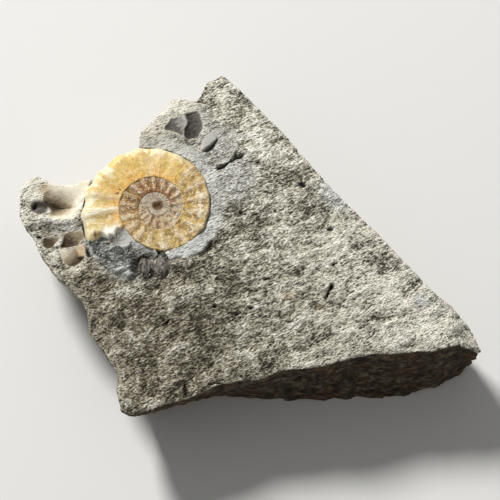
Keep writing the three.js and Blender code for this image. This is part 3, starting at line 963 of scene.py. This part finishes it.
    def _carve(self, mesh: bpy.types.Mesh) -> dict[str, list[float]]:
        """Gives the even mesh the relief of the face and the sides, and lists the finish's attributes."""
        bm = opened(mesh)
        bm.normal_update()
        low, high = (corner / MM for corner in CAD_BOX)
        columns = {mask.value: [0.0] * len(bm.verts) for mask in Mask}
        normals = [vertex.normal.copy() for vertex in bm.verts]
        for vertex, normal in zip(bm.verts, normals):
            place = vertex.co / MM
            turn, beyond = self.spiral.beyond(place.x, place.y)
            masks: dict[Mask, float] = {}
            upper = place.z > self.side_height
            slope = mix(self.face_slope, self.spur_slope, rise(-place.x, 24, 27))
            if upper and beyond < self.seat_outer and normal.z > self.overhang_slope:
                masks[Mask.PREPARED] = 1.0
            elif upper and normal.z > slope:
                place.z, masks = self._face(place, turn, beyond)
                place += Vector((normal.x, normal.y, 0.0)) * self.rim_reach
                # Painted highlight where the face rolls over its rim into a side
                masks[Mask.HIGHLIGHT_AND_PALE] = max(masks[Mask.HIGHLIGHT_AND_PALE], 0.8 * rise(normal.z, 0.97, 0.7))
            else:
                place, masks = self._side(place, normal)
            place = self._against_coil(place)
            if place.z > self.spiral.mid_height - self.seat_depth:
                for bit in self.bits:
                    place = bit.drawn_in(place, *self.bit_reach)
            for axis in range(3):
                place[axis] = min(max(place[axis], low[axis]), high[axis])
            vertex.co = place * MM
            for mask, share in masks.items():
                columns[mask.value][vertex.index] = share
        write_back(bm, mesh)
        return columns

    def _against_coil(self, place: Vector) -> Vector:
        """Draws a point at the rim of the coil's seat in, so that the stone meets the shell."""
        turn, beyond = self.spiral.beyond(place.x, place.y)
        above = place.z - self.spiral.level(place.x)
        if not self.seat_inner < beyond < self.seat_reach or above < -self.seat_depth:
            return place
        rounded = max(rise(turn, 190, 240), rise(turn, self.spiral.mouth, self.spiral.mouth - 2))
        gap = mix(self.seat_gap, self.open_gap, rounded)
        share = (beyond - gap) / (self.seat_reach - gap)
        inset = mix(self.flank_inset, self.venter_inset, rounded)
        contact = self.contact_gap - inset * max(above / self.inset_height, 0.0) ** 2
        closer = mix(contact, self.seat_reach, max(share, 0.0))
        middle = Vector((self.spiral.x, self.spiral.y, place.z))
        outwards = place - middle
        return middle + outwards * ((outwards.length - beyond + closer) / outwards.length)

    def _grain(self, x: float, y: float) -> float:
        """Gives the crumbly grain of the face, about -1 to 1."""
        corner = rise(-x - y, 22, 34)
        grain = self._crumbs(x, y, self.streak_bearing)
        return grain if corner == 0 else mix(grain, self._crumbs(x, y, self.corner_bearing), corner)

    def _crumbs(self, x: float, y: float, bearing: float) -> float:
        """Gives crumbs and ripples that are drawn out along a bearing in degrees."""
        along = math.radians(bearing)
        x += wander(x, y, 5.0, 2.2)
        y += wander(x, y, 5.0, 6.6)
        u = x * math.cos(along) + y * math.sin(along)
        v = y * math.cos(along) - x * math.sin(along)
        ripples = wander(u, v, 0.8, 3.1, 0.5)
        crumbs = wander(u, v, 1.6, 8.7, 1.0)
        lumps = wander(u, v, 5.0, 1.3, 3.2)
        ridges = wander(u, v, 7.0, 4.4, 1.1)
        return 0.9 * ripples + 1.2 * crumbs + 1.3 * lumps + 0.8 * ridges * rise(x, 2, 12)

    def _face(self, place: Vector, turn: float, beyond: float) -> tuple[float, dict[Mask, float]]:
        """Gives the new height and the masks of a point on the face.

        Args:
            place: The point on the CAD solid.
            turn: Its turn round the coil.
            beyond: How far it lies outside the coil.

        Returns:
            The height and the masks.
        """
        x, y, z = place
        grain = self._grain(x, y)
        ragged = wander(x, y, 1.2, 5.5)
        worn = most(self.levelled, x + ragged, y + ragged, 0.35)
        prepared = most(self.greyed, x + ragged, y + ragged, 0.5)
        prepared = max(prepared, rise(beyond + 0.8 * ragged, 2.6, 1.2) * rise(turn, 120, 150))
        height = mix(z, self._bed(x, y), worn)

        width = self.channel_width + self.channel_widening * within(turn, 95, 135, 185, 240)
        soft = 0.2 + 1.2 * rise(turn, 165, 210)
        channel = 1 - rise(beyond + 0.3 * ragged, width - 0.1, width + soft)
        channel *= within(turn, 46, 58, 240, 270)
        whiteness = 0.45 + 0.55 * (1 - rise(turn, 130, 185))
        groove = rise(beyond, 0.6, 0.35) * within(turn, 145, 158, 190, 210)
        sunk = max(rise(turn, 125, 155), 0.5 * rise(beyond, 0, 1.5))
        floor = mix(self.channel_start, self.channel_floor, sunk)

        boulder = rise(self.boulder.inside(x + 0.25 * ragged, y), -0.1, 1.3)
        filling = rise(boulder, 0.0, 0.25)
        swell = self.boulder_height * boulder**0.7 + 0.55 * boulder * wander(x, y, 1.1, 9.5)
        height = mix(height, self._bed(x, y) + swell, filling)
        height = mix(height, floor, channel) - self.groove_depth * groove
        under_mouth = rise(turn, 48, 42) * float(turn > 20)
        height = mix(height, min(height, self.mouth_level), under_mouth)
        height -= self.bit_hollow_depth * self.bit_hollow.cover(x, y, 0.3)

        mould = grey = shade = calm = 0.0
        frayed = 0.12 * wander(x, y, 0.6, 7.7)
        for hollow in self.moulds:
            inside, depth, dark = hollow.hollow(x + frayed, y - frayed)
            calm = max(calm, rise(inside, -1.0, -0.1))
            share = rise(inside, -hollow.softness, hollow.softness)
            if share > 0:
                height = mix(height, self._bed(x, y) - depth, share)
                mould = max(mould, share)
                shade = mix(shade, dark, share)
                grey = mix(grey, float(hollow.skin is Skin.GREY), share)
        # The pit beside the trough: sunk a little, its upper part darkened with painted shade
        pit = self.pit_floor.cover(x + 0.3 * frayed, y, 0.3)
        height -= self.pit_depth * pit
        mould = max(mould, pit)
        shade = mix(shade, mix(0.6, 1.15, rise(y + frayed, 5.6, 6.4)), pit)
        grey = mix(grey, 1.0, pit)

        roughness = (1 - 0.35 * worn) * (1 - 0.8 * channel) * (1 - 0.97 * mould) * (1 - 0.8 * calm)
        roughness *= 1 + 0.6 * filling
        height += self.grain_height * grain * roughness

        slit = most(self.slits, x, y, 0.15)
        hole = most(self.pits, x, y, 0.3)
        height -= self.slit_depth * slit + self.hole_depth * hole
        ragged_x = x + 0.4 * ragged

        masks = {
            Mask.GRAIN: 0.5 + 0.22 * grain,
            Mask.PREPARED: prepared,
            Mask.CHANNEL: whiteness * channel * (1 - groove),
            # Paler towards the right, with painted highlights and paler rock in the patches
            Mask.HIGHLIGHT_AND_PALE: max(0.8 * most(self.highlight_and_pale_patches, x + ragged, y, 0.4), 0.5 * rise(x, 0, 18)),
            Mask.MOULD: mould,
            Mask.GREY: grey,
            Mask.SHADE: shade,
            Mask.FILLING: filling,
            # Slits and holes painted near black as shade
            Mask.SHADED_PIT: max(0.75 * slit, hole),
            Mask.TINT: 0.5 * most(self.tint_patches, x, y, 0.6),
            Mask.PALE: 0.8 * most(self.pale_patches, ragged_x, y, 0.5),
            Mask.CALM: most(self.calm_patches, ragged_x, y, 0.5),
            # Darker towards the lower left, with painted shade in the dark patches and painted shadow of the
            # coil in the groove
            Mask.DARK_TONE_AND_SHADE: max(
                rise(-0.8 * x - 0.6 * y, -16, 24) * (1 - rise(-x, 24, 27) * rise(y, -6, -2)),
                0.75 * most(self.dark_and_shaded_patches, ragged_x, y, 0.5),
                groove,
            ),
        }
        return height, masks

    def _bed(self, x: float, y: float) -> float:
        """Gives the height of the face where nothing is carved in it."""
        height = self.face_height - 0.03 * max(0.0, y - 11)
        terrace = 0.5 * rise(y, 3.8, 2.0) * rise(-x, 24.5, 26)
        return height - 0.9 * rise(-x, 23, 29) - terrace

    def _side(self, place: Vector, normal: Vector) -> tuple[Vector, dict[Mask, float]]:
        """Gives the new place and the masks of a point on a broken side or on the back."""
        coarse = noise.fractal(Vector((place.x / 2.4, place.y / 2.4, place.z / 1.4)), 0.9, 2.1, 4)
        steady = rise(self.face_height - place.z, 0.3, 1.6)
        moved = place + normal * self.side_roughness * coarse * (0.35 + 0.65 * steady)
        # Lighter where a side faces the key light, which is painted light, and on the spur, which is the
        # stone's paler tone
        lit_and_fresh = max(0.75 * rise(normal.y, 0.1, 0.8), 0.7 * rise(-place.x, 25, 28))
        return moved, {Mask.SIDE: 1.0 - lit_and_fresh, Mask.GRAIN: 0.5 + 0.3 * coarse}


@dataclass
class Ammonite:
    """The coiled shell in amber calcite: one tube, wound from the nucleus out to the mouth."""

    spiral: Spiral
    around: int = 60
    half_height: float = 2.5
    taper: float = 0.06
    seam: float = -0.05
    seam_squareness: float = 80.0
    hidden_squareness: float = 60.0
    open_squareness: float = 5.0
    lower_squareness: float = 30.0
    rib_height: float = 0.03
    teeth_from: float = 376.0
    specks: Ovals = (
        Oval(-20.6, 7.75, 0.3, 0.22), Oval(-20.15, 8.35, 0.16, 0.14), Oval(-24.2, 2.0, 0.14, 0.24),
    )
    tightness: float = math.log(2) / (2 * math.pi)
    rib_turns: tuple[float, ...] = (
        *(25, 43, 62, 80, 100, 125, 150, 170, 190, 208, 227, 247, 267, 288, 309, 331, 350, 369, 388),
    )

    def build(self) -> None:
        """Makes the shell and puts it in the scene."""
        bm = bmesh.new()
        names = ("whorl", "across", "rib", "along", "teeth", "speck")
        columns: dict[str, list[float]] = {name: [] for name in names}
        turns = self._turns()
        ring = bmesh.ops.create_circle(bm, cap_ends=True, segments=self.around, radius=1.0)["verts"]
        self._shape(ring, turns[0], columns)
        edges = [edge for edge in bm.edges if not edge.is_wire]
        for turn in turns[1:]:
            extruded = bmesh.ops.extrude_edge_only(bm, edges=edges)["geom"]
            ring = [part for part in extruded if isinstance(part, bmesh.types.BMVert)]
            edges = [part for part in extruded if isinstance(part, bmesh.types.BMEdge)]
            edges = [edge for edge in edges if len(edge.link_faces) == 1]
            self._shape(ring, turn, columns)
        bmesh.ops.holes_fill(bm, edges=edges)
        bmesh.ops.recalc_face_normals(bm, faces=bm.faces)
        mesh = new_mesh("shell", bm)
        write_attributes(mesh, columns)
        finish_piece("shell", mesh, CalciteFinish().make(), "ammonite")

    def _turns(self) -> list[float]:
        """Lists the turns of the tube's sections, closer together on the larger whorls."""
        end = self.spiral.mouth + 360
        turn = self.spiral.start
        turns = [turn]
        while turn < end:
            step = mix(4.5, 0.8, rise(turn, end - 1440, end - 300))
            turn = min(turn + step, end)
            turns.append(turn)
        return turns

    def _rib(self, turn: float) -> float:
        """Tells how much of a rib's crest is at a turn, 0 in the furrow and 1 on the crest."""
        if turn < self.rib_turns[0] - 10:
            count = mix(27.0, 17.0, rise(turn, -420, -330))
            uneven = 3 * noise.noise(Vector((turn / 40, 1.7, 0.3)))
            return 0.5 + 0.5 * math.cos(math.radians(count * (turn + uneven)))
        nearest = min(abs(turn - crest) for crest in self.rib_turns)
        return 0.5 + 0.5 * math.cos(math.pi * min(nearest / 10.5, 1.0))

    def _profile(self, across: float, turn: float) -> float:
        """Gives the height of the flank as a share of the most: level, and square at the seam."""
        if across < 0.5:
            return (1 - (1 - 2 * across) ** self.seam_squareness) ** 0.5
        squareness = mix(self.hidden_squareness, self.lower_squareness, rise(turn, 0, 50))
        squareness = mix(squareness, self.open_squareness, rise(turn, 190, 240))
        return max(1 - (2 * across - 1) ** squareness, 0.0) ** 0.5

    def _break_off(self, across: float, crystal: float) -> float:
        """Gives how many degrees the shell goes on past the mouth: as a fringe of crystals near the seam."""
        return 3.6 + rise(across, 0.6, 0.48) * (8 + 5 * crystal)

    def _shape(self, ring: list[bmesh.types.BMVert], turn: float, columns: dict[str, list[float]]) -> None:
        """Puts one ring of the tube in its place.

        Args:
            ring: The ring's points in order, from the outer edge over the upper flank.
            turn: The ring's turn.
            columns: The attributes, to which the ring's numbers are added.
        """
        outer = self.spiral.outer_radius(turn)
        crest = self._rib(turn)
        bold = 1 + 0.9 * rise(turn, 335, 355) - 0.6 * within(turn, 200, 230, 325, 345)
        strength = self.rib_height * mix(0.7, 1.0, rise(turn, -380, -330)) * bold
        end = self.spiral.mouth + 360
        bevel = rise(turn, end - 1.7, end)
        wide = self.spiral.outer_radius(max(turn, -400)) / self.spiral.radius
        half_height = self.half_height * wide**self.taper * (1 - 0.5 * bevel)
        scallop = 0.4 * strength + 0.016 * rise(turn, 240, 290)
        for index, vertex in enumerate(ring):
            angle = 2 * math.pi * index / len(ring)
            across = 0.5 + 0.5 * math.cos(angle)
            flank = rise(across, 0.02, 0.3) * mix(1.0, 0.6, rise(across, 0.85, 1.0))
            swell = 1 + strength * flank * (2 * crest**1.4 - 1)
            height = math.copysign(self._profile(across, turn), math.sin(angle)) * half_height * swell
            edge = mix(self.seam, 1 + scallop * (2 * crest**1.4 - 1), across)
            place = self.spiral.point(turn, edge, height)
            crystal = wander(place.x, place.y, 0.35, 2.6)
            past = self._break_off(across, crystal) * rise(turn, self.teeth_from, end) + 6 * bevel
            vertex.co = self.spiral.point(turn + past, edge, height) * MM
            columns["whorl"].append(turn / 360)
            columns["across"].append(across)
            columns["rib"].append(crest * flank)
            columns["along"].append(outer / self.tightness)
            teeth = rise(turn + past + 6 * crystal, 385, 391)
            teeth *= rise(across, 0.66, 0.52) * rise(across, 0.03, 0.2)
            columns["teeth"].append(teeth)
            stain = most(self.specks, place.x, place.y, 0.3)
            columns["speck"].append(stain * rise(crystal, -0.3, 0.0))


@dataclass
class ShellBit:
    """A dark domed bit of another shell, half sunk in the stone."""

    node: str
    plan: Oval
    half_height: float
    worn_side: Vector = field(default_factory=lambda: Vector((1.0, 0.2, 0.0)))

    def build(self, material: bpy.types.Material) -> None:
        """Makes the bit with this finish and puts it in the scene."""
        low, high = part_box(self.node)
        bm = bmesh.new()
        bmesh.ops.create_icosphere(bm, subdivisions=5, radius=1.0)
        worn = []
        for vertex in bm.verts:
            ball = vertex.co.copy()
            facets = 0.1 * noise.noise(ball * 1.7 + Vector((self.plan.x, 0.0, 0.0)))
            rough = 0.05 * noise.fractal(ball * 3.4, 0.9, 2.0, 4)
            vertex.co = ball * min(0.97 + facets + rough, 1.0)
            worn.append(rise(ball.dot(self.worn_side.normalized()), 0.66, 0.84))
        half = Vector((self.plan.half_length, self.plan.half_width, self.half_height))
        bmesh.ops.scale(bm, verts=bm.verts, vec=half * MM)
        bmesh.ops.rotate(bm, verts=bm.verts, matrix=Matrix.Rotation(math.radians(self.plan.turn), 3, "Z"))
        bmesh.ops.translate(bm, verts=bm.verts, vec=(low + high) / 2)
        mesh = new_mesh(self.node, bm)
        write_attributes(mesh, {"worn": worn})
        finish_piece(f"{self.node}_dome", mesh, material, self.node)


@dataclass
class Studio:
    """The pale floor, the soft lights and the camera."""

    floor_size: float = 3000.0
    floor_level: float = -0.02
    floor_colour: Colour = srgb(226, 225, 221)
    key_place: tuple[float, float, float] = (-460.0, 660.0, 680.0)
    key_size: float = 240.0
    key_power: float = 13.8
    sky_strength: float = 0.24
    elevation: float = 74.0
    distance: float = 1600.0
    frame_width: float = 77.16
    target: tuple[float, float, float] = (-0.08, -1.143, 14.4)
    sensor: float = 36.0

    def build(self) -> None:
        """Sets up the floor, the sky, the light and the camera."""
        self._floor()
        self._sky()
        self._key()
        self._camera()
        bpy.context.scene.view_settings.view_transform = "Standard"

    def _floor(self) -> None:
        """Lays the floor just under the stone."""
        bm = bmesh.new()
        bmesh.ops.create_grid(bm, x_segments=1, y_segments=1, size=self.floor_size * MM / 2)
        floor = put_in_scene("floor", new_mesh("floor", bm))
        floor.location.z = self.floor_level * MM
        tree = FinishTree("floor")
        tree.dress(Base_Color=self.floor_colour, Roughness=0.9)
        floor.data.materials.append(tree.material)

    def _sky(self) -> None:
        """Fills the room with even pale light."""
        world = bpy.data.worlds.new("room")
        world.use_nodes = True
        background = world.node_tree.nodes["Background"]
        background.inputs["Color"].default_value = (1.0, 1.0, 1.0, 1.0)
        background.inputs["Strength"].default_value = self.sky_strength
        bpy.context.scene.world = world

    def _key(self) -> None:
        """Hangs the soft light beyond the upper left of the stone."""
        light = bpy.data.lights.new("key light", "AREA")
        light.shape = "DISK"
        light.size = self.key_size * MM
        light.energy = self.key_power
        lamp = put_in_scene("key light", light)
        lamp.location = Vector(self.key_place) * MM
        lamp.rotation_euler = (-lamp.location).to_track_quat("-Z", "Y").to_euler()

    def _camera(self) -> None:
        """Sets the camera at the photograph's angle and framing."""
        camera = bpy.data.cameras.new("camera")
        camera.sensor_width = self.sensor
        camera.lens = self.sensor * self.distance / self.frame_width
        camera.clip_start = 0.01
        camera.clip_end = 10.0
        holder = put_in_scene("camera", camera)
        tilt = math.radians(self.elevation)
        back = Vector((0.0, -math.cos(tilt), math.sin(tilt)))
        holder.location = (Vector(self.target) + back * self.distance) * MM
        holder.rotation_euler = (-back).to_track_quat("-Z", "Y").to_euler()
        bpy.context.scene.camera = holder


def plan_middle(node: str) -> tuple[float, float]:
    """Gives the x and y of the middle of a CAD node's box, in millimetres."""
    low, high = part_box(node)
    middle = (low + high) / 2 / MM
    return middle.x, middle.y


def main() -> None:
    """Builds the stone, the shell, the dark bits and the studio."""
    logging.basicConfig(level=logging.INFO)
    spiral = Spiral()
    bits = (
        ShellBit("shell_fragment_right", Oval(*plan_middle("shell_fragment_right"), 1.3, 2.1, -6.0), 1.2),
        ShellBit("shell_fragment_left", Oval(*plan_middle("shell_fragment_left"), 1.15, 1.7, 14.0), 1.1),
    )
    Stone(spiral, tuple(bit.plan for bit in bits)).build()
    Ammonite(spiral).build()
    dark_shell = DarkShellFinish().make()
    for bit in bits:
        bit.build(dark_shell)
    Studio().build()


if __name__ == "__main__":
    main()
